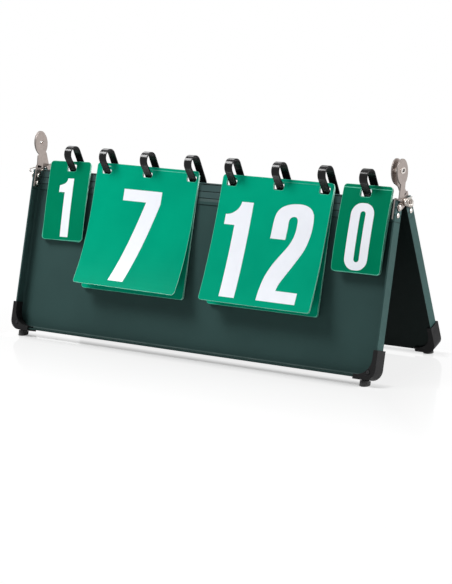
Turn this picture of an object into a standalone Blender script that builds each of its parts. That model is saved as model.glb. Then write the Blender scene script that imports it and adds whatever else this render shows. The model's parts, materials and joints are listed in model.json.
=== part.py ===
# Flip scoreboard: two tray shells hinged at the top into an A-frame, with flip cards on ring straps.
# Metres, +Z up, +X to the right. The board stands on Z = 0, centred on X = 0 and Y = 0.
# The fold axis runs along X, above the middle. Front pieces lie at -Y, back pieces at +Y.

import math

import bmesh
import bpy
from mathutils import Matrix, Vector

MM = 0.001

# Shells
BOARD_WIDTH = 385 * MM
BOARD_SLANT = 147 * MM
TRAY_DEPTH = 10 * MM
WALL = 1.5 * MM
PLATE = 1.4 * MM
CORNER_RADIUS = 8 * MM
INNER_FILLET = 1.6 * MM
LEAN = math.radians(18)

# Hinge line, measured from the shells' inner faces and top edges
BACK_OFFSET = 1.8 * MM
TOP_DROP = 0.5 * MM
STANDING_GAP = 5.4 * MM

# Band along the top of each plate
BAND_HEIGHT = 17.5 * MM
BAND_RISE = 0.6 * MM
BAND_END = 6 * MM
GROOVE_LEVELS = (5.9 * MM, 11.8 * MM)
GROOVE_WIDTH = 0.8 * MM
GROOVE_DEPTH = 0.4 * MM

# Clearances
GAP = 0.3 * MM
SIDE_PLAY = 0.5 * MM
OVERSHOOT = 5 * MM

# Corner caps, their screws and the feet
CAP_SHEET = 1.2 * MM
CAP_LINER = 0.9 * MM
CAP_UP = 24 * MM
CAP_ALONG = 19 * MM
CAP_INNER_RADIUS = 14 * MM
SCREW_INSET = 5.25 * MM
SCREW_RADIUS = 1.6 * MM
SCREW_HEIGHT = 1.1 * MM
SCREW_SEAT = 1.0 * MM
SCREW_SLOT = 0.6 * MM
FOOT_RADIUS = 4.5 * MM
FOOT_INSET = 10 * MM

# Ring straps
RING_SHIFT = 3.8 * MM
RING_HALF_PATTERN = (21.5 * MM, 69.8 * MM, 115.9 * MM, 156.2 * MM)
STRAP_WIDTH = 7.6 * MM
STRAP = 1.4 * MM
RING_TOP = (-2.6 * MM, 18.2 * MM)
RING_TOP_RADIUS = 7.6 * MM
RING_BOTTOM = (6.35 * MM, -0.9 * MM)
RING_BOTTOM_RADIUS = 6.5 * MM
RING_STEPS = 14

# Flip cards
CARD = 0.4 * MM
CARD_SPACING = 0.7 * MM
CARD_CORNER = 3 * MM
CARDS_PER_GROUP = 3
HOLE_PLAY = 1.45 * MM
HOLE_TOP = 3.0 * MM
HOLE_HEIGHT = 7.2 * MM
HOLE_CORNER = 2 * MM
SMALL_CARD = (46.5 * MM, 73.5 * MM)
LARGE_CARD = (113 * MM, 112 * MM)

# Each group: name, size, centre along X, then for its rear and front cards the slack above the strap
# and the tilt in degrees, how far the group stands off the band, and last its rings
CARD_GROUPS = (
    ("set_left", SMALL_CARD, -154.2 * MM, (3.3 * MM, 2.3 * MM), (19.0, 19.2), 0, (1,)),
    ("points_left", LARGE_CARD, -66.8 * MM, (1.6 * MM, 2.9 * MM), (18.0, 24.8), 0, (2, 3, 4)),
    ("points_right", LARGE_CARD, 71.8 * MM, (1.5 * MM, 1.7 * MM), (18.0, 24.9), 0, (5, 6, 7)),
    ("set_right", SMALL_CARD, 161.3 * MM, (2.5 * MM, 1.5 * MM), (21.0, 21.4), 0.6 * MM, (8,)),
)
CARD_NAMES = ("rear", "middle", "front")

# Hinges at the ends
PIN_RADIUS = 1.5 * MM
EYE_WALL = 1.5 * MM
LEAF = 0.8 * MM
LUG_RADIUS = 3.4 * MM
LUG = (5.5 * MM, 5.0 * MM)
LOWER_RIVET = (5.5 * MM, 12.0 * MM)
RIVET_SHANK = 1.2 * MM
RIVET_HEAD = 2.2 * MM
RIVET_HEAD_HEIGHT = 0.9 * MM
# Dome of a head from its crown to its rim, as shares of its radius and height
RIVET_DOME = ((0, 1), (0.6, 0.85), (1, 0.25), (1, 0))
SPRING_WIRE = 0.5 * MM
SPRING_PLAY = 0.95 * MM
SPRING_PITCH = 1.45 * MM
SPRING_TURNS = 2
SPRING_LEG = 8.2 * MM
SPRING_BACK_LEG = 7.38 * MM
SPRING_CURL = 1.4 * MM

# Levers
LEVER = 1.2 * MM
LEVER_PLATE_LIP = 0.4 * MM
LEVER_PLATE_DOWN = 15.5 * MM
JOGGLED_PLATE_UP = 1.9 * MM
STRAIGHT_PLATE_UP = 4.3 * MM
WEB = (0.4 * MM, 1.6 * MM)
WEB_START = 4.6 * MM
HEAD_HALF_WIDTH = 8.5 * MM
HEAD_HALF_HEIGHT = 10.8 * MM
HEAD_OPENING = 28
HEAD_STEPS = 20
NECK_HALF_WIDTH = 3.6 * MM
FOOT_HALF_WIDTH = 3.96 * MM
LEVER_SLOT = (4.8 * MM, 2.4 * MM)
LEVER_SLOT_UP = 1.08 * MM
LEVER_SLOT_CORNER = 1.08 * MM

# Each lever: end, side, joggled outside the wall, foot, neck and head centres from the fold axis
LEVERS = (
    (1, -1, True, (-8.4 * MM, 2.2 * MM), (-5.1 * MM, 14.9 * MM), (-5.2 * MM, 25.9 * MM)),
    (1, 1, False, (4.4 * MM, 4.0 * MM), (-1.6 * MM, 14.9 * MM), (-6.6 * MM, 26.2 * MM)),
    (-1, -1, False, (-5.4 * MM, 3.6 * MM), (-3.4 * MM, 14.9 * MM), (-1.0 * MM, 25.6 * MM)),
    (-1, 1, True, (8.6 * MM, 2.2 * MM), (6.6 * MM, 14.9 * MM), (3.4 * MM, 25.6 * MM)),
)

# Sizes that follow from the ones above
HALF_WIDTH = BOARD_WIDTH / 2
PIVOT_Z = STANDING_GAP + (TOP_DROP + BOARD_SLANT) * math.cos(LEAN) - BACK_OFFSET * math.sin(LEAN) \
    - TRAY_DEPTH / 2 * math.sin(LEAN)
EYE_HOLE = PIN_RADIUS + GAP
EYE_RADIUS = EYE_HOLE + EYE_WALL
RIVET_HOLE = RIVET_SHANK + GAP
LEAF_START = HALF_WIDTH + GAP
OUTER_LEAF_START = LEAF_START + LEAF + GAP
LEVER_INNER_FACE = HALF_WIDTH - WALL - GAP
LEVER_PLATE_INNER = PLATE + INNER_FILLET
LEVER_PLATE_OUTER = TRAY_DEPTH - LEVER_PLATE_LIP
LEVER_OUTER_START = OUTER_LEAF_START
SPRING_RADIUS = PIN_RADIUS + SPRING_PLAY + SPRING_WIRE
HOLE_WIDTH = STRAP_WIDTH + 2 * HOLE_PLAY
SPRING_START = LEVER_OUTER_START + LEVER + GAP + SPRING_WIRE
SPRING_END = SPRING_START + SPRING_PITCH * SPRING_TURNS
SIDE_NAMES = {-1: "front", 1: "back"}
END_NAMES = {-1: "left", 1: "right"}


def clear_scene():
    for old in list(bpy.data.objects):
        bpy.data.objects.remove(old, do_unlink=True)


def new_collection(name, hidden):
    collection = bpy.data.collections.new(name)
    bpy.context.scene.collection.children.link(collection)
    collection.hide_render = hidden
    return collection


clear_scene()
BOARD = new_collection("flip_scoreboard", False)
CUTTERS = new_collection("cutters", True)


def plain_material(name, colour, roughness, metallic):
    material = bpy.data.materials.new(name)
    material.use_nodes = True
    shader = material.node_tree.nodes["Principled BSDF"]
    shader.inputs["Base Color"].default_value = (*colour, 1)
    shader.inputs["Roughness"].default_value = roughness
    shader.inputs["Metallic"].default_value = metallic
    material.diffuse_color = (*colour, 1)
    return material


SHELL_GREEN = plain_material("shell_green", (0.035, 0.07, 0.066), 0.45, 0)
CAP_BLACK = plain_material("cap_black", (0.03, 0.03, 0.032), 0.5, 0)
FOOT_RUBBER = plain_material("foot_rubber", (0.012, 0.012, 0.012), 0.8, 0)
STRAP_BLACK = plain_material("strap_black", (0.01, 0.01, 0.011), 0.25, 0)
CARD_GREEN = plain_material("card_green", (0.0, 0.25, 0.13), 0.35, 0)
PLATED_STEEL = plain_material("plated_steel", (0.55, 0.52, 0.47), 0.3, 1)
SPRING_STEEL = plain_material("spring_steel", (0.5, 0.5, 0.5), 0.35, 1)


def arc(centre, radius, start, end, steps):
    """Points on an arc, both ends included; angles in degrees."""
    angles = [math.radians(start + (end - start) * step / steps) for step in range(steps + 1)]
    return [(centre[0] + radius * math.cos(a), centre[1] + radius * math.sin(a)) for a in angles]


def circle(centre, radius, steps=20):
    return arc(centre, radius, 0, 360, steps)[:-1]


def rounded_box(low, high, radius, steps=4):
    """A rectangle with four round corners, anticlockwise."""
    corners = (
        ((high[0] - radius, high[1] - radius), 0),
        ((low[0] + radius, high[1] - radius), 90),
        ((low[0] + radius, low[1] + radius), 180),
        ((high[0] - radius, low[1] + radius), 270),
    )
    return [point for centre, start in corners for point in arc(centre, radius, start, start + 90, steps)]


def link_outline(first, first_radius, second, second_radius, steps):
    """The belt round two circles, anticlockwise: round ends with straight tangents between."""
    run = Vector(second) - Vector(first)
    heading = math.degrees(math.atan2(run.y, run.x))
    taper = math.degrees(math.acos((first_radius - second_radius) / run.length))
    far_end = arc(second, second_radius, heading - taper, heading + taper, steps)
    near_end = arc(first, first_radius, heading + taper, heading + 360 - taper, steps)
    return far_end + near_end


def place(piece, collection, material=None):
    collection.objects.link(piece)
    if material:
        piece.data.materials.append(material)
    if collection is CUTTERS:
        piece.display_type = "WIRE"
        piece.hide_render = True
    return piece


def flat_solid(name, loops, low, high, axes, collection, material=None):
    """Outline and holes as a filled 2D curve, extruded from low to high, then turned into a mesh."""
    curve = bpy.data.curves.new(name, "CURVE")
    curve.dimensions = "2D"
    curve.fill_mode = "BOTH"
    curve.extrude = (high - low) / 2
    for loop in loops:
        spline = curve.splines.new("POLY")
        spline.points.add(len(loop) - 1)
        spline.use_cyclic_u = True
        for point, (across, up) in zip(spline.points, loop):
            point.co = (across, up, 0, 1)
    flat = bpy.data.objects.new(name, curve)
    bpy.context.scene.collection.objects.link(flat)
    graph = bpy.context.evaluated_depsgraph_get()
    mesh = bpy.data.meshes.new_from_object(flat.evaluated_get(graph))
    bpy.data.objects.remove(flat)
    bpy.data.curves.remove(curve)
    mesh.name = name
    work = bmesh.new()
    work.from_mesh(mesh)
    bmesh.ops.remove_doubles(work, verts=work.verts, dist=0.001 * MM)
    bmesh.ops.dissolve_limit(work, angle_limit=math.radians(0.1), verts=work.verts, edges=work.edges)
    bmesh.ops.translate(work, verts=work.verts, vec=(0, 0, (low + high) / 2))
    bmesh.ops.transform(work, matrix=axes, verts=work.verts)
    bmesh.ops.recalc_face_normals(work, faces=work.faces)
    work.to_mesh(mesh)
    work.free()
    mesh.materials.clear()
    return place(bpy.data.objects.new(name, mesh), collection, material)


# Outlines of a shell piece lie along X and up the slope, and are extruded outward, along local -Y
SLOPE_AXES = Matrix(((1, 0, 0, 0), (0, 0, -1, 0), (0, 1, 0, 0), (0, 0, 0, 1)))
# Outlines of an end piece lie along Y and Z, and are extruded along X
END_AXES = Matrix(((0, 0, 1, 0), (1, 0, 0, 0), (0, 1, 0, 0), (0, 0, 0, 1)))


def cylinder(name, radius, low, high, axes, centre, collection, material=None, steps=24):
    return flat_solid(name, [circle(centre, radius, steps)], low, high, axes, collection, material)


def boolean(target, tool, operation="DIFFERENCE"):
    """Cuts, joins or trims the target with a tool that rides on it."""
    step = target.modifiers.new(operation.lower(), "BOOLEAN")
    step.operation = operation
    step.object = tool
    step.solver = "EXACT"
    tool.parent = target


def stand_on_slope(piece, side):
    """Turns a piece modelled for the front side onto its side of the frame, about the fold axis."""
    piece.location = (0, 0, PIVOT_Z)
    piece.rotation_euler = (-LEAN, 0, 0 if side < 0 else math.pi)


def slope_level(down):
    """Height of a level on the slope in a side's own frame, from its distance below the top edge."""
    return -(TOP_DROP + down)


def slope_point(side, outward, down):
    """A point of one side's slope as Y and Z from the fold axis."""
    reach = BACK_OFFSET + outward
    drop = TOP_DROP + down
    across = reach * math.cos(LEAN) + drop * math.sin(LEAN)
    height = reach * math.sin(LEAN) - drop * math.cos(LEAN)
    return (side * across, height)


def tray_outline(inset, radius, top):
    """The board's outline moved inward by inset, with two round lower corners."""
    half = HALF_WIDTH - inset
    bottom = slope_level(BOARD_SLANT - inset)
    left_corner = arc((-half + radius, bottom + radius), radius, 180, 270, 8)
    right_corner = arc((half - radius, bottom + radius), radius, 270, 360, 8)
    return left_corner + right_corner + [(half, top), (-half, top)]


def wall_holes(end):
    """Cutters for the two rivet holes of one end wall, in the side's own frame."""
    cutters = []
    for outward, down in (LUG, LOWER_RIVET):
        centre = (-(BACK_OFFSET + outward), slope_level(down))
        start = end * HALF_WIDTH - WALL - OVERSHOOT
        cutters.append(cylinder("rivet_hole", RIVET_HOLE, start, start + 2 * (WALL + OVERSHOOT),
                                END_AXES, centre, CUTTERS))
    return cutters


def ring_positions():
    left = [-half for half in reversed(RING_HALF_PATTERN)]
    return [centre + RING_SHIFT for centre in left + list(RING_HALF_PATTERN)]


def ring_bottom_on_slope():
    """The lower ring arc's centre as distance outward and down on the back side."""
    across, height = RING_BOTTOM
    outward = across * math.cos(LEAN) + height * math.sin(LEAN) - BACK_OFFSET
    down = across * math.sin(LEAN) - height * math.cos(LEAN) - TOP_DROP
    return outward, down


def strap_level(outward):
    """How far above the plates' top edge the strap's inner face meets a card that far outward."""
    low, high = Vector(RING_BOTTOM), Vector(RING_TOP)
    run = high - low
    turn = math.atan2(run.y, run.x) + math.acos((RING_BOTTOM_RADIUS - RING_TOP_RADIUS) / run.length)
    square = Vector((math.cos(turn), math.sin(turn)))
    low = low + square * (RING_BOTTOM_RADIUS - STRAP)
    high = high + square * (RING_TOP_RADIUS - STRAP)
    edge = Vector(slope_point(-1, outward, 0))
    up = Vector((math.sin(LEAN), math.cos(LEAN)))
    along = high - low
    return (along.x * (edge.y - low.y) - along.y * (edge.x - low.x)) / (along.y * up.x - along.x * up.y)


def strap_slots():
    """Cutters for the slots in the back plate that the ring straps run through."""
    outward, down = ring_bottom_on_slope()
    band_face = PLATE + BAND_RISE
    inner = RING_BOTTOM_RADIUS - STRAP
    upper = down + math.sqrt(inner ** 2 - outward ** 2) - GAP
    lower = down + math.sqrt(RING_BOTTOM_RADIUS ** 2 - (outward - band_face) ** 2) + GAP
    half = STRAP_WIDTH / 2 + SIDE_PLAY
    cutters = []
    for centre in ring_positions():
        # The back shell is the front one turned round, so its own X runs the other way
        low = (-centre - half, slope_level(lower))
        high = (-centre + half, slope_level(upper))
        cutters.append(flat_solid("strap_slot", [rounded_box(low, high, GAP, 1)], BACK_OFFSET - OVERSHOOT,
                                  BACK_OFFSET + band_face + OVERSHOOT, SLOPE_AXES, CUTTERS))
    return cutters


def make_shell(side):
    top = slope_level(0)
    outline = tray_outline(0, CORNER_RADIUS, top)
    shell = flat_solid(f"{SIDE_NAMES[side]}_shell", [outline], BACK_OFFSET, BACK_OFFSET + TRAY_DEPTH,
                       SLOPE_AXES, BOARD, SHELL_GREEN)
    pocket = flat_solid("tray_pocket", [tray_outline(WALL, CORNER_RADIUS - WALL, top + OVERSHOOT)],
                        BACK_OFFSET + PLATE, BACK_OFFSET + TRAY_DEPTH + OVERSHOOT, SLOPE_AXES, CUTTERS)
    fillet = pocket.modifiers.new("inner_fillet", "BEVEL")
    fillet.width = INNER_FILLET
    fillet.segments = 2
    fillet.limit_method = "ANGLE"
    fillet.angle_limit = math.radians(60)
    boolean(shell, pocket)
    band_low = (-HALF_WIDTH + BAND_END, slope_level(BAND_HEIGHT))
    band_high = (HALF_WIDTH - BAND_END, top)
    band = flat_solid("band", [rounded_box(band_low, band_high, GAP, 1)], BACK_OFFSET + PLATE / 2,
                      BACK_OFFSET + PLATE + BAND_RISE, SLOPE_AXES, CUTTERS)
    boolean(shell, band, "UNION")
    for level in GROOVE_LEVELS:
        low = (-HALF_WIDTH + 2 * BAND_END, slope_level(level + GROOVE_WIDTH / 2))
        high = (HALF_WIDTH - 2 * BAND_END, slope_level(level - GROOVE_WIDTH / 2))
        face = BACK_OFFSET + PLATE + BAND_RISE
        groove = flat_solid("groove", [rounded_box(low, high, GROOVE_WIDTH / 4, 1)], face - GROOVE_DEPTH,
                            face + OVERSHOOT, SLOPE_AXES, CUTTERS)
        boolean(shell, groove)
    for end in (-1, 1):
        for hole in wall_holes(end):
            boolean(shell, hole)
    if side > 0:
        for slot in strap_slots():
            boolean(shell, slot)
    stand_on_slope(shell, side)
    return shell


def corner_region(end, depth_low, depth_high, name):
    """A block over one lower corner, as large as the corner cap reaches."""
    outer = HALF_WIDTH + OVERSHOOT
    inner = HALF_WIDTH - CAP_ALONG
    low = (min(end * inner, end * outer), slope_level(BOARD_SLANT + OVERSHOOT))
    high = (max(end * inner, end * outer), slope_level(BOARD_SLANT - CAP_UP))
    return flat_solid(name, [[low, (high[0], low[1]), high, (low[0], high[1])]], depth_low, depth_high,
                      SLOPE_AXES, CUTTERS)


def make_cap(side, end):
    """A rim cap folded round the tray wall: outer sheet, front and back flanges, and an inner liner."""
    shell_top = slope_level(0)
    low = BACK_OFFSET - GAP - CAP_SHEET
    high = BACK_OFFSET + TRAY_DEPTH + GAP + CAP_SHEET
    grown = -(GAP + CAP_SHEET)
    lined = WALL + GAP + CAP_LINER
    outer = tray_outline(grown, CORNER_RADIUS - grown, shell_top)
    inner = tray_outline(lined, CAP_INNER_RADIUS, shell_top + OVERSHOOT)
    name = f"{SIDE_NAMES[side]}_{END_NAMES[end * -side]}_cap"
    cap = flat_solid(name, [outer], low, high, SLOPE_AXES, BOARD, CAP_BLACK)
    hollow = flat_solid("cap_inside", [inner], low - OVERSHOOT, high + OVERSHOOT, SLOPE_AXES, CUTTERS)
    boolean(cap, corner_region(end, low - OVERSHOOT, high + OVERSHOOT, "cap_reach"), "INTERSECT")
    boolean(cap, hollow)
    room = flat_solid("cap_room", [tray_outline(-GAP, CORNER_RADIUS + GAP, shell_top + OVERSHOOT)],
                      BACK_OFFSET - GAP, BACK_OFFSET + TRAY_DEPTH + GAP, SLOPE_AXES, CUTTERS)
    liner_outline = tray_outline(WALL + GAP, CORNER_RADIUS - WALL, shell_top + 2 * OVERSHOOT)
    kept = flat_solid("liner_room", [liner_outline], BACK_OFFSET + PLATE + INNER_FILLET,
                      high + OVERSHOOT, SLOPE_AXES, CUTTERS)
    boolean(room, kept)
    boolean(cap, room)
    screw_centre = (end * (HALF_WIDTH - SCREW_INSET), slope_level(BOARD_SLANT - SCREW_INSET))
    seat = cylinder("screw_seat", SCREW_RADIUS + GAP, high - SCREW_SEAT, high + OVERSHOOT, SLOPE_AXES,
                    screw_centre, CUTTERS, steps=16)
    boolean(cap, seat)
    stand_on_slope(cap, side)
    screw = cylinder(f"{name}_screw", SCREW_RADIUS, high - SCREW_SEAT + GAP,
                     high - SCREW_SEAT + GAP + SCREW_HEIGHT, SLOPE_AXES, screw_centre, BOARD,
                     PLATED_STEEL, steps=16)
    half_slot = SCREW_SLOT / 2
    slot_low = (screw_centre[0] - 2 * SCREW_RADIUS, screw_centre[1] - half_slot)
    slot_high = (screw_centre[0] + 2 * SCREW_RADIUS, screw_centre[1] + half_slot)
    slot = flat_solid("screw_slot", [rounded_box(slot_low, slot_high, half_slot / 2, 1)],
                      high - SCREW_SEAT + GAP + SCREW_HEIGHT / 2, high + OVERSHOOT, SLOPE_AXES, CUTTERS)
    boolean(screw, slot)
    stand_on_slope(screw, side)


def make_foot(side, end):
    """A rubber stud under the corner cap, cut flat where the board stands."""
    centre = (end * (HALF_WIDTH - FOOT_INSET), -(BACK_OFFSET + TRAY_DEPTH / 2))
    top = slope_level(BOARD_SLANT + GAP + CAP_SHEET + GAP)
    floor_level = -(PIVOT_Z + BOARD_SLANT * math.tan(LEAN)) / math.cos(LEAN)
    name = f"{SIDE_NAMES[side]}_{END_NAMES[end * -side]}_foot"
    upright = Matrix.Identity(4)
    foot = cylinder(name, FOOT_RADIUS, floor_level, top, upright, centre, BOARD, FOOT_RUBBER)
    stand_on_slope(foot, side)
    work = bmesh.new()
    work.from_mesh(foot.data)
    to_world = Matrix.Translation(foot.location) @ foot.rotation_euler.to_matrix().to_4x4()
    to_local = to_world.inverted()
    point = to_local @ Vector((0, 0, 0))
    normal = to_local.to_3x3() @ Vector((0, 0, 1))
    everything = list(work.verts) + list(work.edges) + list(work.faces)
    cut = bmesh.ops.bisect_plane(work, geom=everything, plane_co=point, plane_no=normal, clear_inner=True)
    rim = [item for item in cut["geom_cut"] if isinstance(item, bmesh.types.BMEdge)]
    bmesh.ops.contextual_create(work, geom=rim)
    bmesh.ops.recalc_face_normals(work, faces=work.faces)
    work.to_mesh(foot.data)
    work.free()


def make_ring(number, centre):
    """A flat strap bent into a closed tapered loop; its origin is the lower arc's centre."""
    run = (RING_TOP[0] - RING_BOTTOM[0], RING_TOP[1] - RING_BOTTOM[1])
    outer = link_outline((0, 0), RING_BOTTOM_RADIUS, run, RING_TOP_RADIUS, RING_STEPS)
    inner = link_outline((0, 0), RING_BOTTOM_RADIUS - STRAP, run, RING_TOP_RADIUS - STRAP, RING_STEPS)
    ring = flat_solid(f"ring_{number}", [outer, inner], -STRAP_WIDTH / 2, STRAP_WIDTH / 2, END_AXES, BOARD,
                      STRAP_BLACK)
    ring.location = (centre, RING_BOTTOM[0], PIVOT_Z + RING_BOTTOM[1])


def between(pair, share):
    """The value that lies a share of the way from the first to the second of a pair."""
    return pair[0] + (pair[1] - pair[0]) * share


def make_cards(group, size, centre, slacks, tilts, standoff, rings):
    """Three cards of one group, fanned from the rear card's tilt to the front card's."""
    width, height = size
    first_layer = PLATE + BAND_RISE + GAP + CARD / 2 + standoff
    places = ring_positions()
    outline = rounded_box((-width / 2, -height), (width / 2, 0), CARD_CORNER)
    holes = []
    for ring in rings:
        middle = places[ring - 1] - centre
        low = (middle - HOLE_WIDTH / 2, -HOLE_TOP - HOLE_HEIGHT)
        high = (middle + HOLE_WIDTH / 2, -HOLE_TOP)
        holes.append(rounded_box(low, high, HOLE_CORNER, 3))
    for order in range(CARDS_PER_GROUP):
        share = order / (CARDS_PER_GROUP - 1)
        card = flat_solid(f"{group}_{CARD_NAMES[order]}_card", [outline] + holes, -CARD / 2, CARD / 2,
                          SLOPE_AXES, BOARD, CARD_GREEN)
        outward = first_layer + order * CARD_SPACING
        rise = strap_level(outward) + HOLE_TOP + between(slacks, share)
        across, level = slope_point(-1, outward, -rise)
        card.location = (centre, across, PIVOT_Z + level)
        card.rotation_euler = (-math.radians(between(tilts, share)), 0, 0)


def make_leaf(side, end, outer_leaf):
    """One hinge leaf: an eye on the pin and a lug riveted to the end wall."""
    lug = slope_point(side, *LUG)
    outline = link_outline((0, 0), EYE_RADIUS, lug, LUG_RADIUS, 10)
    holes = [circle((0, 0), EYE_HOLE), circle(lug, RIVET_HOLE)]
    start = OUTER_LEAF_START if outer_leaf else LEAF_START
    faces = sorted((end * start, end * (start + LEAF)))
    name = f"{SIDE_NAMES[side]}_{END_NAMES[end]}_leaf"
    leaf = flat_solid(name, [outline] + holes, *faces, END_AXES, BOARD, PLATED_STEEL)
    if outer_leaf:
        boss_faces = sorted((end * LEAF_START, end * (start + LEAF / 2)))
        boss = flat_solid("lug_boss", [circle(lug, LUG_RADIUS - GAP), circle(lug, RIVET_HOLE)],
                          *boss_faces, END_AXES, CUTTERS)
        boolean(leaf, boss, "UNION")
    leaf.location = (0, 0, PIVOT_Z)


def make_rivet(side, end, at, inner_face, outer_face, name):
    """A rivet with two domed heads and a shank through the end wall."""
    centre = slope_point(side, *at)
    shank = (inner_face - GAP, outer_face + GAP)
    outer_head = [(RIVET_HEAD * r, shank[1] + RIVET_HEAD_HEIGHT * h) for r, h in RIVET_DOME]
    inner_head = [(RIVET_HEAD * r, shank[0] - RIVET_HEAD_HEIGHT * h) for r, h in reversed(RIVET_DOME)]
    profile = outer_head + [(RIVET_SHANK, shank[1]), (RIVET_SHANK, shank[0])] + inner_head
    mesh = bpy.data.meshes.new(name)
    work = bmesh.new()
    points = [work.verts.new((radius, 0, level)) for radius, level in profile]
    for first, second in zip(points, points[1:]):
        work.edges.new((first, second))
    work.to_mesh(mesh)
    work.free()
    rivet = place(bpy.data.objects.new(name, mesh), BOARD, PLATED_STEEL)
    turn = rivet.modifiers.new("turn", "SCREW")
    turn.axis = "Z"
    turn.angle = math.tau
    turn.steps = 16
    turn.render_steps = 16
    turn.use_merge_vertices = True
    turn.merge_threshold = 0.0001 * MM
    rivet.rotation_euler = (0, end * math.pi / 2, 0)
    rivet.location = (0, centre[0], PIVOT_Z + centre[1])


def spoon_outline(foot, neck, head):
    """A lever seen from its end: a narrow stem that opens into an oval head."""
    stem = Vector(neck) - Vector(foot)
    square = Vector((stem.y, -stem.x)).normalized()
    right = [Vector(foot) + square * FOOT_HALF_WIDTH, Vector(neck) + square * NECK_HALF_WIDTH]
    left = [Vector(neck) - square * NECK_HALF_WIDTH, Vector(foot) - square * FOOT_HALF_WIDTH]
    oval = []
    for step in range(HEAD_STEPS + 1):
        angle = math.radians(HEAD_OPENING - 90 + (360 - 2 * HEAD_OPENING) * step / HEAD_STEPS)
        across, up = HEAD_HALF_WIDTH * math.cos(angle), HEAD_HALF_HEIGHT * math.sin(angle)
        oval.append((head[0] + across, head[1] + up))
    return [tuple(p) for p in right] + oval + [tuple(p) for p in left]


def make_lever(end, side, joggled, foot, neck, head):
    """A stamped lever: a plate riveted inside the end wall and a spoon that stands above it."""
    name = f"{SIDE_NAMES[side]}_{END_NAMES[end]}_lever"
    inner, outer = LEVER_PLATE_INNER, LEVER_PLATE_OUTER
    rise = JOGGLED_PLATE_UP if joggled else STRAIGHT_PLATE_UP
    corners = ((inner, LEVER_PLATE_DOWN), (outer, LEVER_PLATE_DOWN), (outer, -rise), (inner, -rise))
    outline = [slope_point(side, outward, down) for outward, down in corners]
    holes = [circle(slope_point(side, *at), RIVET_HOLE) for at in (LUG, LOWER_RIVET)]
    plate_faces = sorted((end * (LEVER_INNER_FACE - LEVER), end * LEVER_INNER_FACE))
    lever = flat_solid(name, [outline] + holes, *plate_faces, END_AXES, BOARD, PLATED_STEEL)
    spoon_start = LEVER_OUTER_START if joggled else LEVER_INNER_FACE - LEVER
    spoon_faces = sorted((end * spoon_start, end * (spoon_start + LEVER)))
    slot_low = (head[0] - LEVER_SLOT[0] / 2, head[1] - LEVER_SLOT[1] / 2 + LEVER_SLOT_UP)
    slot_high = (slot_low[0] + LEVER_SLOT[0], slot_low[1] + LEVER_SLOT[1])
    slot = rounded_box(slot_low, slot_high, LEVER_SLOT_CORNER, 3)
    spoon = flat_solid("spoon", [spoon_outline(foot, neck, head), slot], *spoon_faces, END_AXES, CUTTERS)
    if joggled:
        web_corners = ((WEB_START, -WEB[0]), (outer - GAP, -WEB[0]), (outer - GAP, -WEB[1]),
                       (WEB_START, -WEB[1]))
        web_outline = [slope_point(side, outward, down) for outward, down in web_corners]
        web_faces = sorted((end * (LEVER_INNER_FACE - LEVER / 2), end * (LEVER_OUTER_START + LEVER / 2)))
        web = flat_solid("web", [web_outline], *web_faces, END_AXES, CUTTERS)
        boolean(lever, web, "UNION")
    boolean(lever, spoon, "UNION")
    lever.location = (0, 0, PIVOT_Z)


def spring_path(end):
    """Points of the torsion spring from its back leg, round the pin, to the curl at its front leg."""
    start = end * SPRING_START
    points = [(start, SPRING_BACK_LEG, SPRING_RADIUS), (start, SPRING_BACK_LEG / 2, SPRING_RADIUS)]
    steps = 14 * SPRING_TURNS
    for step in range(steps + 1):
        angle = math.pi / 2 + math.tau * SPRING_TURNS * step / steps
        along = SPRING_START + SPRING_PITCH * SPRING_TURNS * step / steps
        points.append((end * along, SPRING_RADIUS * math.cos(angle), SPRING_RADIUS * math.sin(angle)))
    finish = end * SPRING_END
    points.append((finish, -SPRING_LEG / 2, SPRING_RADIUS))
    curl_centre = (-SPRING_LEG, SPRING_RADIUS - SPRING_CURL)
    for across, up in arc(curl_centre, SPRING_CURL, 90, 300, 7):
        points.append((finish, across, up))
    return [Vector(point) for point in points]


def least_gap(points, wire):
    """The least distance between stretches of the wire that aren't next to each other, less the wire."""
    least = math.inf
    for first in range(len(points)):
        travelled = 0
        for second in range(first + 1, len(points)):
            travelled += (points[second] - points[second - 1]).length
            if travelled > 8 * wire:
                least = min(least, (points[second] - points[first]).length)
    return least - 2 * wire


def make_spring(end):
    points = spring_path(end)
    curve = bpy.data.curves.new(f"{END_NAMES[end]}_spring", "CURVE")
    curve.dimensions = "3D"
    curve.bevel_depth = SPRING_WIRE
    curve.bevel_resolution = 1
    curve.use_fill_caps = True
    wire = curve.splines.new("POLY")
    wire.points.add(len(points) - 1)
    for point, co in zip(wire.points, points):
        point.co = (*co, 1)
    spring = place(bpy.data.objects.new(curve.name, curve), BOARD, SPRING_STEEL)
    spring.location = (0, 0, PIVOT_Z)
    print(f"{curve.name}: least gap between its turns {least_gap(points, SPRING_WIRE) / MM:.2f} mm")


def make_hinge(end):
    """Pin, two leaves, spring and rivets of one end; the two ends are each other turned round."""
    pin_faces = sorted((end * (HALF_WIDTH - WALL), end * SPRING_END))
    pin = cylinder(f"{END_NAMES[end]}_pin", PIN_RADIUS, *pin_faces, END_AXES, (0, 0), BOARD, PLATED_STEEL)
    pin.location = (0, 0, PIVOT_Z)
    make_spring(end)
    for side in (-1, 1):
        outer_leaf = side == end
        make_leaf(side, end, outer_leaf)
        leaf_face = (OUTER_LEAF_START if outer_leaf else LEAF_START) + LEAF
        inside = LEVER_INNER_FACE - LEVER
        base = f"{SIDE_NAMES[side]}_{END_NAMES[end]}"
        make_rivet(side, end, LUG, inside, leaf_face, f"{base}_upper_rivet")
        make_rivet(side, end, LOWER_RIVET, inside, HALF_WIDTH, f"{base}_lower_rivet")


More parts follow.
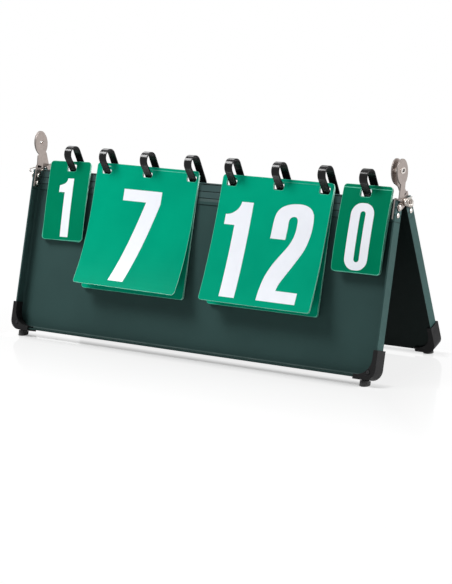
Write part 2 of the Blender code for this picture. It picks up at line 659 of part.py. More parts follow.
def build():
    for side in (-1, 1):
        make_shell(side)
        for end in (-1, 1):
            make_cap(side, end)
            make_foot(side, end)
    for number, centre in enumerate(ring_positions(), 1):
        make_ring(number, centre)
    for group in CARD_GROUPS:
        make_cards(*group)
    for end in (-1, 1):
        make_hinge(end)
    for lever in LEVERS:
        make_lever(*lever)
    print(f"{len(BOARD.objects)} sub-parts, fold axis at {PIVOT_Z / MM:.2f} mm")


build()
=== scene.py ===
# %% [markdown]
# A flip scoreboard, dressed for its picture
# The board is two shallow plastic trays hinged at the top, so that it stands as an A-frame.
# Numbered cards hang on eight black straps, and two nickel-plated levers stand at each end.
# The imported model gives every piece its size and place. This script adds the surfaces, the
# thin parts that the eye looks for, the light and the camera.

import json
import math

import bmesh
import bpy
from mathutils import Matrix, Vector


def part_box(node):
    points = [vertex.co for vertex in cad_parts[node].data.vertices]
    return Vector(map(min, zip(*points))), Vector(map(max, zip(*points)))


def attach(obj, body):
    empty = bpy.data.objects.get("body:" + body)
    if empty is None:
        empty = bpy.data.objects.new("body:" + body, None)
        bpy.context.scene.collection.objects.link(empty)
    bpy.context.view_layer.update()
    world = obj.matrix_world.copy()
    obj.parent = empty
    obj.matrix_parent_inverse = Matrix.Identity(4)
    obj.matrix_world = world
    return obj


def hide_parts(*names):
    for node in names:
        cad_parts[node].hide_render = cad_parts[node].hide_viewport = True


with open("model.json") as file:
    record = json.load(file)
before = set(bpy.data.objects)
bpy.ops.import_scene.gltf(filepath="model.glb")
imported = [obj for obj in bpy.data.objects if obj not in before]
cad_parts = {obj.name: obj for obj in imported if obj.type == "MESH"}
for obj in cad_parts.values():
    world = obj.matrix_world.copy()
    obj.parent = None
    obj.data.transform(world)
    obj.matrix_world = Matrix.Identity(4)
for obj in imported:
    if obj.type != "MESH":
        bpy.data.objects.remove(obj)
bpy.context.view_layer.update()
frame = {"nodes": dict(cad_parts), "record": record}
MM = 0.001

# %% [markdown]
# Camera
# A product picture is taken with a long lens, so its lines stay nearly parallel. The camera's
# turn, lift and roll were fitted to the board's edges and feet. An aim point and a distance
# would do as well, but the board's own axes make the numbers easier to check.

# %% Camera
PICTURE_SIZE = (452, 584)
SENSOR = 36.0
FOCAL_PIXELS = 1937
CAMERA_TURN = math.radians(35.16)
CAMERA_LIFT = math.radians(14.02)
CAMERA_ROLL = math.radians(-2.65)
CAMERA_DISTANCE = 1.7279
CAMERA_SIDESTEP = 0.00628
CAMERA_RISE = 0.04566
CAMERA_REACH = 20


def camera_axes():
    """Right, up and forward of a camera that looks along +Y, then is turned, lifted and rolled."""
    level = math.cos(CAMERA_LIFT)
    ahead, aside = math.cos(CAMERA_TURN), math.sin(CAMERA_TURN)
    forward = Vector((-aside * level, ahead * level, -math.sin(CAMERA_LIFT)))
    flat_right = Vector((ahead, aside, 0))
    flat_up = flat_right.cross(forward)
    roll_cos, roll_sin = math.cos(CAMERA_ROLL), math.sin(CAMERA_ROLL)
    right = roll_cos * flat_right + roll_sin * flat_up
    up = roll_cos * flat_up - roll_sin * flat_right
    return right, up, forward


def show(name, data):
    """A new object in the scene, made from a camera, a lamp, a curve or a mesh."""
    thing = bpy.data.objects.new(name, data)
    bpy.context.scene.collection.objects.link(thing)
    return thing


def place_camera():
    data = bpy.data.cameras.new("picture_camera")
    data.sensor_fit = "VERTICAL"
    data.sensor_height = SENSOR
    data.lens = FOCAL_PIXELS / PICTURE_SIZE[1] * SENSOR
    data.clip_end = CAMERA_REACH
    camera = show("picture_camera", data)
    right, up, forward = camera_axes()
    spot = right * CAMERA_SIDESTEP + up * CAMERA_RISE - forward * CAMERA_DISTANCE
    turn = Matrix((right, up, -forward)).transposed()
    camera.matrix_world = Matrix.Translation(spot) @ turn.to_4x4()
    bpy.context.scene.camera = camera
    return camera


picture_camera = place_camera()
camera_place = tuple(round(value, 3) for value in picture_camera.location)
print("lens:", round(picture_camera.data.lens, 1), "mm at", camera_place)

# %% [markdown]
# Helpers for finishes
# Real plastic and metal never have one flat colour. Each finish here starts from a Principled
# shader and gets its variation from noise in Object coordinates, so that a pattern stays put
# when a piece moves. A picture of the surface would do as well, but it has to be unwrapped,
# and it blurs when seen close up.

# %% Finish helpers


def new_finish(name, colour, roughness, metallic=0.0, coat=0.0):
    finish = bpy.data.materials.new(name)
    finish.use_nodes = True
    shader = finish.node_tree.nodes["Principled BSDF"]
    shader.inputs["Base Color"].default_value = (*colour, 1)
    shader.inputs["Roughness"].default_value = roughness
    shader.inputs["Metallic"].default_value = metallic
    shader.inputs["Coat Weight"].default_value = coat
    finish.diffuse_color = (*colour, 1)
    return finish, shader


def object_noise(finish, scale, detail=3.0):
    """Noise over the piece's own Object coordinates; scale is in features per metre."""
    where = finish.node_tree.nodes.new("ShaderNodeTexCoord")
    noise = finish.node_tree.nodes.new("ShaderNodeTexNoise")
    noise.inputs["Scale"].default_value = scale
    noise.inputs["Detail"].default_value = detail
    finish.node_tree.links.new(where.outputs["Object"], noise.inputs["Vector"])
    return noise.outputs["Fac"]


def ramp(finish, value, low, high, low_out, high_out):
    """Turns a value between low and high into a value between low_out and high_out."""
    step = finish.node_tree.nodes.new("ShaderNodeMapRange")
    step.inputs["From Min"].default_value = low
    step.inputs["From Max"].default_value = high
    step.inputs["To Min"].default_value = low_out
    step.inputs["To Max"].default_value = high_out
    finish.node_tree.links.new(value, step.inputs["Value"])
    return step.outputs["Result"]


def mix_colours(finish, share, first, second):
    """A colour that runs from first to second; either may be a colour or a socket."""
    mix = finish.node_tree.nodes.new("ShaderNodeMix")
    mix.data_type = "RGBA"
    finish.node_tree.links.new(share, mix.inputs["Factor"])
    for socket, colour in ((mix.inputs["A"], first), (mix.inputs["B"], second)):
        if isinstance(colour, tuple):
            socket.default_value = (*colour, 1)
        else:
            finish.node_tree.links.new(colour, socket)
    return mix.outputs["Result"]


print("materials before the first finish:", len(bpy.data.materials))

# %% [markdown]
# Tone, sheen and grain
# Moulded and plated surfaces change slowly in tone and sheen, and have a fine grain. Most of a
# noise's values lie near its middle, so the helpers for tone and sheen stretch that part over
# the full range. The grain could be real relief in the mesh, but it is so fine that it would
# need millions of points, and a Bump node looks the same.

# %% Tone, sheen and grain
TONE_NOISE = (0.35, 0.65)
SHEEN_NOISE = (0.3, 0.7)


def shade(colour, factor):
    return tuple(channel * factor for channel in colour)


def mottle(finish, shader, colour, spread, scale):
    """Slow changes of tone over the surface, as moulded and plated parts have."""
    tone = ramp(finish, object_noise(finish, scale), *TONE_NOISE, 0, 1)
    mixed = mix_colours(finish, tone, shade(colour, 1 - spread), shade(colour, 1 + spread))
    finish.node_tree.links.new(mixed, shader.inputs["Base Color"])


def vary_roughness(finish, shader, low, high, scale):
    value = ramp(finish, object_noise(finish, scale), *SHEEN_NOISE, low, high)
    finish.node_tree.links.new(value, shader.inputs["Roughness"])


def grain(finish, shader, scale, height):
    """Fine relief from noise; height is in metres."""
    bump = finish.node_tree.nodes.new("ShaderNodeBump")
    bump.inputs["Strength"].default_value = 1
    bump.inputs["Distance"].default_value = height
    finish.node_tree.links.new(object_noise(finish, scale, detail=2.0), bump.inputs["Height"])
    finish.node_tree.links.new(bump.outputs["Normal"], shader.inputs["Normal"])


print("half of white:", shade((1, 1, 1), 0.5))

# %% [markdown]
# Places on the shell
# The paler band, partly painted light, and the painted shade along the grooves and on the dark
# inner faces of the trays follow the slope, not the height. How far a point lies down the slope,
# and how far out from it, come from its height and its distance from the middle, which works for
# both trays because they lean alike. A UV map would need an unwrap of the imported mesh, and
# that mesh stays as it is.

# %% Places on the shell
LEAN = math.radians(18)
JOINTS = frame["record"]["behaviour"]["joints"]
FOLD = Vector(next(joint for joint in JOINTS if joint["name"] == "front_fold")["pos_m"])
TOP_DROP = 0.5 * MM
PLATE_BACK = 1.8 * MM


def sum_up(finish, operation, *values):
    """One Math node; each value may be a number or a socket."""
    step = finish.node_tree.nodes.new("ShaderNodeMath")
    step.operation = operation
    for socket, value in zip(step.inputs, values):
        if isinstance(value, (int, float)):
            socket.default_value = value
        else:
            finish.node_tree.links.new(value, socket)
    return step.outputs[0]


def object_axes(finish):
    """The X, Y and Z sockets of Object coordinates, in metres."""
    where = finish.node_tree.nodes.new("ShaderNodeTexCoord")
    split = finish.node_tree.nodes.new("ShaderNodeSeparateXYZ")
    finish.node_tree.links.new(where.outputs["Object"], split.inputs["Vector"])
    return split.outputs


def slope_places(finish):
    """Two sockets in metres: how far below the top edge, and how far out from the plate's back."""
    axes = object_axes(finish)
    reach = sum_up(finish, "ABSOLUTE", axes["Y"])
    rise = sum_up(finish, "SUBTRACT", axes["Z"], FOLD.z)
    down = sum_up(finish, "MULTIPLY_ADD", reach, math.sin(LEAN), -TOP_DROP)
    down = sum_up(finish, "MULTIPLY_ADD", rise, -math.cos(LEAN), down)
    out = sum_up(finish, "MULTIPLY_ADD", reach, math.cos(LEAN), -PLATE_BACK)
    out = sum_up(finish, "MULTIPLY_ADD", rise, math.sin(LEAN), out)
    return down, out


print("fold axis:", round(FOLD.z / MM, 2), "mm up, lean", round(math.degrees(LEAN), 1), "degrees")

# %% [markdown]
# Dark green shell plastic
# The trays are moulded in a blackish green with a satin, lightly grained skin. Down to its
# second groove, a band along the top is a little paler, partly its own tone and partly painted
# light. Painted shade draws dark lines along its grooves and under its lower step, and darkens
# the inner faces of the A-frame and the low wall. Each of these places is a ramp along the slope
# or out from it, so one material serves both trays. A finish for each place would need the
# imported mesh to be cut up, and that mesh stays as it is.

# %% Shell finish
SHELL_COLOUR = (0.026, 0.056, 0.053)
# The band's own paler tone with painted light on it
BAND_TONE_AND_LIGHT = (0.045, 0.078, 0.078)
# Painted shade for the grooves, the band's lower step and the low wall
PAINTED_SHADE_COLOUR = (0.008, 0.02, 0.018)
# Painted shade for the inner faces behind the plates
INSIDE_SHADE_COLOUR = (0.004, 0.009, 0.008)
SHELL_SHEEN = 0.42
SHELL_GLOSS = 0.06

# Roughness from and to, at so many features per metre, and relief's features and height
SHELL_SHEENS = (0.38, 0.54, 60)
SHELL_RELIEF = (2600, 0.05 * MM)

# Places down the slope and out from it
# The band's paler paint, partly painted light, stops at the second groove, above its lower step
BAND_DOWN = 12.0 * MM
BAND_BLUR = 0.3 * MM
# Painted shade lines at the two grooves and at the band's lower step
GROOVE_SHADE_LEVELS = (5.9 * MM, 11.8 * MM, 17.5 * MM)
GROOVE_SHADE_CORE = 0.175 * MM
GROOVE_SHADE_RIM = 0.42 * MM
# Painted shade on the low wall along the bottom edge
LOW_WALL = (144.3 * MM, 145.0 * MM)
LOW_WALL_SHADE = 0.7
# Painted shade on faces that lie behind the plate's back
INSIDE_SHADE_SPAN = (0.1 * MM, 0.4 * MM)
CLOUD_SCALE = 14
CLOUD_SHARE = 0.3
CLOUD_LIGHT = 1.5


def make_shell_finish():
    finish, shader = new_finish("shell_green_satin", SHELL_COLOUR, SHELL_SHEEN)
    shader.inputs["Specular IOR Level"].default_value = SHELL_GLOSS
    down, out = slope_places(finish)
    # Down to the second groove the band is painted paler: partly its own tone, partly painted light
    below_band = ramp(finish, down, BAND_DOWN - BAND_BLUR, BAND_DOWN + BAND_BLUR, 0, 1)
    tone = mix_colours(finish, below_band, BAND_TONE_AND_LIGHT, SHELL_COLOUR)
    cloud = ramp(finish, object_noise(finish, CLOUD_SCALE), *TONE_NOISE, 0, CLOUD_SHARE)
    tone = mix_colours(finish, cloud, tone, shade(SHELL_COLOUR, CLOUD_LIGHT))
    # Painted shade: a dark line along each groove and under the band's lower step
    for level in GROOVE_SHADE_LEVELS:
        away = sum_up(finish, "ABSOLUTE", sum_up(finish, "SUBTRACT", down, level))
        near = ramp(finish, away, GROOVE_SHADE_CORE, GROOVE_SHADE_RIM, 1, 0)
        tone = mix_colours(finish, near, tone, PAINTED_SHADE_COLOUR)
    # Painted shade darkens the low wall along the bottom edge
    tone = mix_colours(finish, ramp(finish, down, *LOW_WALL, 0, LOW_WALL_SHADE), tone, PAINTED_SHADE_COLOUR)
    # Painted shade darkens the inner faces behind the plates
    tone = mix_colours(finish, ramp(finish, out, *INSIDE_SHADE_SPAN, 1, 0), tone, INSIDE_SHADE_COLOUR)
    finish.node_tree.links.new(tone, shader.inputs["Base Color"])
    vary_roughness(finish, shader, *SHELL_SHEENS)
    grain(finish, shader, *SHELL_RELIEF)
    return finish


shell_finish = make_shell_finish()
print("shell finish:", len(shell_finish.node_tree.nodes), "nodes")

# %% [markdown]
# The other finishes
# Caps are black satin plastic, straps glossy black, screws blackened and feet matt rubber.
# The levers are steel with a thin nickel plating, which looks warmer and greyer than chrome.
# The cards are glossy green sheet with a paler core that shows at the cut edges, where the
# colour is made lighter still as a painted highlight, and a paler border where the outer films
# are sealed. They are printed in white. Under wide softboxes the shader's usual gloss greys a
# dark surface, so it is turned down on caps, straps and cards.
# One helper serves all these finishes, because only their numbers differ. A separate node
# tree for each would allow more, but none of them needs it.

# %% Other finishes
LARGE_CARD_COLOUR = (0.0, 0.315, 0.182)
SMALL_CARD_COLOUR = (0.0, 0.185, 0.09)
# The pale core at the cut edges, made lighter still as a painted highlight
CARD_EDGE_CORE_AND_HIGHLIGHT = (0.45, 0.85, 0.7)
CARD_BORDER_COLOUR = (0.045, 0.43, 0.29)
PRINT_COLOUR = (0.82, 0.84, 0.9)
SHEEN_LOW = 0.85
SHEEN_HIGH = 1.2
SHEEN_FINENESS = 4


def simple_finish(name, colour, roughness, tone, relief, metallic=0, coat=0, gloss=0.5):
    """tone is a spread and features per metre, and relief is features per metre and a height."""
    finish, shader = new_finish(name, colour, roughness, metallic, coat)
    shader.inputs["Specular IOR Level"].default_value = gloss
    spread, tone_scale = tone
    mottle(finish, shader, colour, spread, tone_scale)
    low, high = roughness * SHEEN_LOW, min(1, roughness * SHEEN_HIGH)
    vary_roughness(finish, shader, low, high, tone_scale * SHEEN_FINENESS)
    grain(finish, shader, *relief)
    return finish


cap_finish = simple_finish(
    "cap_black_satin", (0.01, 0.01, 0.0105), 0.5, tone=(0.2, 60), relief=(2200, 0.04 * MM), gloss=0.1)
screw_finish = simple_finish(
    "screw_black_zinc", (0.02, 0.02, 0.022), 0.4, tone=(0.2, 300), relief=(2000, 0.01 * MM), metallic=0.6)
foot_finish = simple_finish(
    "foot_rubber_matt", (0.014, 0.014, 0.014), 0.8, tone=(0.25, 90), relief=(1500, 0.08 * MM))
strap_finish = simple_finish(
    "strap_gloss_black", (0.005, 0.005, 0.0055), 0.15,
    tone=(0.2, 120), relief=(500, 0.01 * MM), gloss=0.18)
nickel_finish = simple_finish(
    "lever_nickel", (0.37, 0.32, 0.295), 0.3, tone=(0.06, 90), relief=(1400, 0.008 * MM), metallic=1)
spring_finish = simple_finish(
    "spring_wire", (0.5, 0.47, 0.43), 0.28, tone=(0.08, 200), relief=(2600, 0.01 * MM), metallic=1)
large_card_finish = simple_finish(
    "card_green_large", LARGE_CARD_COLOUR, 0.38, tone=(0.06, 18), relief=(900, 0.006 * MM), gloss=0.012)
small_card_finish = simple_finish(
    "card_green_small", SMALL_CARD_COLOUR, 0.38, tone=(0.05, 30), relief=(900, 0.006 * MM), gloss=0.012)
card_core_and_highlight_finish = simple_finish(
    "card_cut_edge", CARD_EDGE_CORE_AND_HIGHLIGHT, 0.5, tone=(0.03, 200), relief=(2500, 0.02 * MM))
border_finish = simple_finish(
    "card_sealed_border", CARD_BORDER_COLOUR, 0.4, tone=(0.05, 60), relief=(900, 0.006 * MM))
print_finish = simple_finish(
    "numeral_white_print", PRINT_COLOUR, 0.35, tone=(0.015, 60), relief=(1500, 0.004 * MM), coat=0.1)
print("materials with the finishes:", len(bpy.data.materials))

# %% [markdown]
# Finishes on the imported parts
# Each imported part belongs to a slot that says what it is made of, such as black caps or plated
# steel, and a table gives each slot its finish. The cap screws are in the slot for plated
# steel but are blackened, so they get theirs by name. Choosing a finish part by part would
# work too, but there are over fifty parts and only seven slots.

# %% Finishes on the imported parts
FINISH_OF_SLOT = {
    "shell_green": shell_finish,
    "cap_black": cap_finish,
    "foot_rubber": foot_finish,
    "strap_black": strap_finish,
    "plated_steel": nickel_finish,
    "spring_steel": spring_finish,
    "card_green": large_card_finish,
}
for part in frame["record"]["subparts"]:
    node = frame["nodes"][part["node"]]
    node.data.materials.clear()
    node.data.materials.append(FINISH_OF_SLOT[part["material_slot"]])
for name, node in frame["nodes"].items():
    if name.endswith("screw"):
        node.data.materials[0] = screw_finish
print("slots with a finish:", len(FINISH_OF_SLOT))

# %% [markdown]
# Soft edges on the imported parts
# No moulded or turned part has a knife edge, and a rounded edge is what catches the light.
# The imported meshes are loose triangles, so a Weld joins them first and a narrow Bevel then
# rounds every sharp edge. A bevel cut into the meshes would do the same, but they stay as
# they are, so modifiers do it.

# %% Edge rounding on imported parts
JOIN_DISTANCE = 0.001 * MM
PACKED_EDGE_ANGLE = 35
EDGE_RADII = {
    "shell": 0.35 * MM,
    "cap": 0.3 * MM,
    "foot": 0.4 * MM,
    "leaf": 0.12 * MM,
    "screw": 0.1 * MM,
    "pin": 0.15 * MM,
}


def add_bevel(piece, radius, segments, angle):
    """A Bevel for the edges that turn by more than the angle, in degrees."""
    rounding = piece.modifiers.new("soft_edges", "BEVEL")
    rounding.width = radius
    rounding.segments = segments
    rounding.limit_method = "ANGLE"
    rounding.angle_limit = math.radians(angle)


def round_edges(node, radius):
    weld = node.modifiers.new("join_corners", "WELD")
    weld.merge_threshold = JOIN_DISTANCE
    add_bevel(node, radius, segments=2, angle=PACKED_EDGE_ANGLE)


rounded = 0
for name, node in frame["nodes"].items():
    for ending, radius in EDGE_RADII.items():
        if name.endswith(ending):
            round_edges(node, radius)
            rounded += 1
print("parts with rounded edges:", rounded)

# %% [markdown]
# Outlines
# Most of this object is cut or stamped from sheet, so most of its pieces start as an outline.
# Arcs, boxes with round corners and a belt round two circles are enough to draw them all.
# Bezier curves would need fewer points, but plain points can be joined, cut and counted.

# %% Outline helpers
CIRCLE_STEPS = 32
CORNER_STEPS = 4
CORNER_LIMIT = 0.45


def arc(centre, radius, start, end, steps):
    """Points on an arc, both ends included; angles in degrees."""
    angles = [math.radians(start + (end - start) * step / steps) for step in range(steps + 1)]
    return [(centre[0] + radius * math.cos(a), centre[1] + radius * math.sin(a)) for a in angles]


def circle(centre, radius):
    return arc(centre, radius, 0, 360, CIRCLE_STEPS)[:-1]


def rounded_box(low, high, radius, steps=6):
    """A rectangle with four round corners, anticlockwise."""
    corners = (
        ((high[0] - radius, high[1] - radius), 0),
        ((low[0] + radius, high[1] - radius), 90),
        ((low[0] + radius, low[1] + radius), 180),
        ((high[0] - radius, low[1] + radius), 270),
    )
    return [point for centre, start in corners for point in arc(centre, radius, start, start + 90, steps)]


def round_corner(before, corner, after, cut):
    """A corner cut back on both sides, with a curve between, never past half of a side."""
    corner = Vector(corner)
    to_before, to_after = Vector(before) - corner, Vector(after) - corner
    cut = min(cut, to_before.length * CORNER_LIMIT, to_after.length * CORNER_LIMIT)
    start, end = corner + to_before.normalized() * cut, corner + to_after.normalized() * cut
    shares = [step / CORNER_STEPS for step in range(CORNER_STEPS + 1)]
    return [tuple(start * (1 - t) ** 2 + corner * 2 * t * (1 - t) + end * t ** 2) for t in shares]


def belt(first, first_radius, second, second_radius, steps):
    """The outline round two circles: round ends with straight tangents between."""
    run = Vector(second) - Vector(first)
    heading = math.degrees(math.atan2(run.y, run.x))
    taper = math.degrees(math.acos((first_radius - second_radius) / run.length))
    far_end = arc(second, second_radius, heading - taper, heading + taper, steps)
    near_end = arc(first, first_radius, heading + taper, heading + 360 - taper, steps)
    return far_end + near_end


print("points of a circle:", len(circle((0, 0), 1)))

# %% [markdown]
# Plates from outlines
# A flat outline drawn as a filled curve gives a plate with its holes in one step, and a bevel
# then takes the sharpness off. Building a box and cutting it with booleans would work too,
# but it leaves untidy edges for the bevel. The curve is made a mesh before anything else, so
# that the piece can be placed by its mesh and its object can stay at the origin.

# %% Plate helpers
FLAT_ANGLE = math.radians(0.1)

# Outlines of an end piece lie in Y and Z, and its thickness along X
END_AXES = Matrix(((0, 0, 1, 0), (1, 0, 0, 0), (0, 1, 0, 0), (0, 0, 0, 1)))


def open_mesh(mesh):
    work = bmesh.new()
    work.from_mesh(mesh)
    return work


def close_mesh(work, mesh):
    work.to_mesh(mesh)
    work.free()
    return mesh


def draw_run(curve, points, closed):
    """Straight lines through the points, closed into a loop or left open."""
    run = curve.splines.new("POLY")
    run.points.add(len(points) - 1)
    run.use_cyclic_u = closed
    for spot, point in zip(run.points, points):
        spot.co = (*point, 1)


def mesh_from_curve(name, curve):
    """The mesh that a curve makes; the curve itself is taken away."""
    drawing = show(name, curve)
    graph = bpy.context.evaluated_depsgraph_get()
    mesh = bpy.data.meshes.new_from_object(drawing.evaluated_get(graph))
    bpy.data.objects.remove(drawing)
    bpy.data.curves.remove(curve)
    mesh.name = name
    mesh.materials.clear()
    return mesh


def flat_mesh(name, loops, low, high):
    """A plate cut to the outline and holes in X and Y, from low to high along Z."""
    curve = bpy.data.curves.new(name, "CURVE")
    curve.dimensions = "2D"
    curve.fill_mode = "BOTH"
    curve.extrude = (high - low) / 2
    for loop in loops:
        draw_run(curve, [(across, up, 0) for across, up in loop], True)
    mesh = mesh_from_curve(name, curve)
    work = open_mesh(mesh)
    bmesh.ops.remove_doubles(work, verts=work.verts, dist=JOIN_DISTANCE)
    bmesh.ops.dissolve_limit(work, angle_limit=FLAT_ANGLE, verts=work.verts, edges=work.edges)
    bmesh.ops.translate(work, verts=work.verts, vec=(0, 0, (low + high) / 2))
    bmesh.ops.recalc_face_normals(work, faces=work.faces)
    return close_mesh(work, mesh)


def joined_mesh(name, meshes):
    """Several meshes as one."""
    work = bmesh.new()
    for mesh in meshes:
        work.from_mesh(mesh)
        bpy.data.meshes.remove(mesh)
    return close_mesh(work, bpy.data.meshes.new(name))


print("thickness of an end piece lies along:", tuple(END_AXES.to_3x3() @ Vector((0, 0, 1))))

# %% [markdown]
# Pieces and their edges The cut edges of a sheet differ from its faces in tone and sheen, so
# its narrow faces get a second material. On thicker pieces no corner is quite sharp, so a
# Bevel modifier rounds them. Each finished mesh is shown as a piece that rides on the body it
# moves with.

# %% Pieces and their edges
SOFT_ANGLE = 40
CUT_EDGE = 1

# Faces whose normal rises less than this look sideways
SIDEWAYS = 0.5


def paint_cut_edges(mesh):
    """Keeps a plate's second material for the narrow faces all round it."""
    work = open_mesh(mesh)
    for face in work.faces:
        if abs(face.normal.z) < SIDEWAYS:
            face.material_index = CUT_EDGE
    close_mesh(work, mesh)


def add_piece(name, mesh, finishes, body, slot, *replaced):
    """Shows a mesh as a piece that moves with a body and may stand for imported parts."""
    for finish in finishes:
        mesh.materials.append(finish)
    piece = show(name, mesh)
    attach(piece, body)
    if replaced:
        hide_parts(*replaced)
    return piece


def soften(piece, radius, segments=3):
    """A rounded edge and a smooth sheen; large flat faces keep their own direction."""
    piece.data.shade_smooth()
    add_bevel(piece, radius, segments, SOFT_ANGLE)
    flatten = piece.modifiers.new("flat_faces", "WEIGHTED_NORMAL")
    flatten.keep_sharp = False


print("edges turned by more than", SOFT_ANGLE, "degrees are rounded")

# %% [markdown]
# Ring straps
# Each strap is a flat plastic band bent into a closed tapered loop. It is drawn from the end,
# as a belt round two circles with a smaller belt cut out of it, then given its width. The top
# arc is wider than the bottom one, which gives the cards room to flip over. A band swept
# along a path would look the same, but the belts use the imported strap's own sizes.

# %% Ring straps
STRAP = 1.4 * MM
STRAP_EDGE = 0.35 * MM
RING_TOP = (-2.6 * MM, 18.2 * MM)
RING_TOP_RADIUS = 7.6 * MM
RING_BOTTOM = (6.35 * MM, -0.9 * MM)
RING_BOTTOM_RADIUS = 6.5 * MM
RING_STEPS = 28
RING_NUMBERS = range(1, 9)


def from_fold(point):
    """A point given from the fold axis, as Y and Z in the frame."""
    return (point[0], FOLD.z + point[1])


def make_ring(number):
    name = f"ring_{number}"
    low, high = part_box(name)
    bottom, top = from_fold(RING_BOTTOM), from_fold(RING_TOP)
    outer = belt(bottom, RING_BOTTOM_RADIUS, top, RING_TOP_RADIUS, RING_STEPS)
    inner = belt(bottom, RING_BOTTOM_RADIUS - STRAP, top, RING_TOP_RADIUS - STRAP, RING_STEPS)
    mesh = flat_mesh(f"{name}_strap", [outer, inner], low.x, high.x)
    mesh.transform(END_AXES)
    strap = add_piece(f"{name}_strap", mesh, [strap_finish], name, "strap_black", name)
    soften(strap, STRAP_EDGE)
    return strap


straps = [make_ring(number) for number in RING_NUMBERS]
strap_low, strap_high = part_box("ring_1")
print("straps:", len(straps), "width", round((strap_high.x - strap_low.x) / MM, 2), "mm")

# %% [markdown]
# Card sizes
# The cards are thin sheet in two sizes, with rounded corners and a square hole for each strap.
# They hang in four groups, and a table says how each group leans, bows and turns. Shaping
# every card by hand would work too, but a table keeps the groups easy to compare. A group
# that hangs turned has its top cut down by as much as its high corner would rise, so that the
# corner keeps clear of its neighbours when a card lifts.

# %% Card sizes
SHEET = 0.24 * MM
BORDER = 0.3 * MM
SEALED_BORDER = 2
CARD_CORNER = 3 * MM
HOLE_SIZE = (10.5 * MM, 7.2 * MM)
HOLE_TOP = 3 * MM
HOLE_CORNER = 2 * MM
CARD_STRIPS = 28
PACKED_SHEET = 0.4 * MM
CARD_KINDS = {"set": (73.5 * MM, small_card_finish), "points": (112 * MM, large_card_finish)}
EVEN_FAN = (0, 0.2, 0.4, 0.6, 0.8, 1)
LEFT_FAN = (0, 0.015, 0.03, 0.045, 0.06, 1)
RIGHT_FAN = (0, 0.05, 0.1, 0.94, 0.97, 1)

# Each group: its straps, each sheet's share of the lean, its bow and belly, its turn in degrees
CARD_GROUPS = {
    "set_left": {"rings": (1,), "fan": EVEN_FAN, "bow": -3.2 * MM, "belly": 0, "turn": 1.8},
    "points_left": {"rings": (2, 3, 4), "fan": LEFT_FAN, "bow": 13.3 * MM, "belly": 1.0, "turn": -0.5},
    "points_right": {"rings": (5, 6, 7), "fan": RIGHT_FAN, "bow": 8.0 * MM, "belly": 0.5, "turn": -0.3},
    "set_right": {"rings": (8,), "fan": EVEN_FAN, "bow": -6.4 * MM, "belly": 0, "turn": 0},
}


def card_plane(node, height):
    """Top centre and tilt of a packed card, from its box."""
    low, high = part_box(node)
    diagonal = math.hypot(height, PACKED_SHEET)
    tilt = math.asin((high.y - low.y) / diagonal) - math.atan(PACKED_SHEET / height)
    half = PACKED_SHEET / 2
    top = ((low.x + high.x) / 2, high.y - half * math.cos(tilt), high.z - half * math.sin(tilt))
    return Vector(top), tilt


def card_loops(name, height, centre):
    """The outline and holes of a group's sheets, and how far from its middle a sheet turns."""
    low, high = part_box(f"{name}_front_card")
    half_width = (high.x - low.x) / 2
    cut_down = half_width * math.sin(math.radians(abs(CARD_GROUPS[name]["turn"])))
    loops = [rounded_box((-half_width, -height), (half_width, -cut_down), CARD_CORNER)]
    middles = []
    for number in CARD_GROUPS[name]["rings"]:
        ring_low, ring_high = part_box(f"ring_{number}")
        middle = (ring_low.x + ring_high.x) / 2 - centre
        corner = (middle - HOLE_SIZE[0] / 2, -HOLE_TOP - HOLE_SIZE[1])
        loops.append(rounded_box(corner, (corner[0] + HOLE_SIZE[0], -HOLE_TOP), HOLE_CORNER, steps=4))
        middles.append(middle)
    pivot = middles[0] if len(middles) == 1 else 0
    return loops, pivot


print("card heights:", [round(height / MM, 1) for height, finish in CARD_KINDS.values()], "mm")

# %% [markdown]
# Bowed sheets
# Each card is a paler core between two green films that are sealed all round, which shows as
# a pale border. The sheets are cut flat, sliced across into narrow strips, and then bowed by
# a formula, because a hanging card is never quite flat. A cloth simulation would bow them
# too, but stiff sheet bends so little that a formula is enough, and it always comes out the
# same.

# %% Bowed sheets


def draw_border(mesh):
    """A pale rim just inside the outline and the holes, where the two outer films are sealed."""
    work = open_mesh(mesh)
    front = [face for face in work.faces if face.normal.z > SIDEWAYS]
    rim = bmesh.ops.inset_region(work, faces=front, thickness=BORDER,
                                 use_even_offset=True, use_boundary=True)
    for face in rim["faces"]:
        face.material_index = SEALED_BORDER
    close_mesh(work, mesh)


def slice_across(mesh, height):
    """Cuts a flat sheet into strips, so that it has something to bend at."""
    work = open_mesh(mesh)
    for strip in range(1, CARD_STRIPS):
        everything = list(work.verts) + list(work.edges) + list(work.faces)
        bmesh.ops.bisect_plane(work, geom=everything, dist=JOIN_DISTANCE / 10, plane_no=(0, 1, 0),
                               plane_co=(0, -height * strip / CARD_STRIPS, 0))
    close_mesh(work, mesh)


def hang_sheet(mesh, height, plane, bow, belly, turn, pivot):
    """Bows a flat sheet, lower down the more belly it has, turns it a little and hangs it up."""
    slice_across(mesh, height)
    for vert in mesh.vertices:
        share = min(1, max(0, -vert.co.y / height))
        vert.co.z -= bow * share * (1 - share) * (1 + belly * share)
    top, tilt = plane
    to_pivot = Matrix.Translation((-pivot, HOLE_TOP, 0))
    from_pivot = Matrix.Translation((pivot, -HOLE_TOP, 0))
    swing = from_pivot @ Matrix.Rotation(math.radians(turn), 4, "Z") @ to_pivot
    stand = Matrix.Rotation(math.pi / 2 - tilt, 4, "X")
    mesh.transform(Matrix.Translation(top) @ stand @ swing)


print("strips in a sheet:", CARD_STRIPS)

# %% [markdown]
# Flip cards
# On the real board each group is a pack of many cards. Here six sheets stand for a group, and
# only the front one can lift by itself. They are evenly spaced out from the slope, and the
# group's fan says how much of the front card's lean and bow each one takes. Copies of one
# sheet would be quicker to make, but they would all hang alike.

# %% Flip cards


def between(first, second, share):
    return first + (second - first) * share


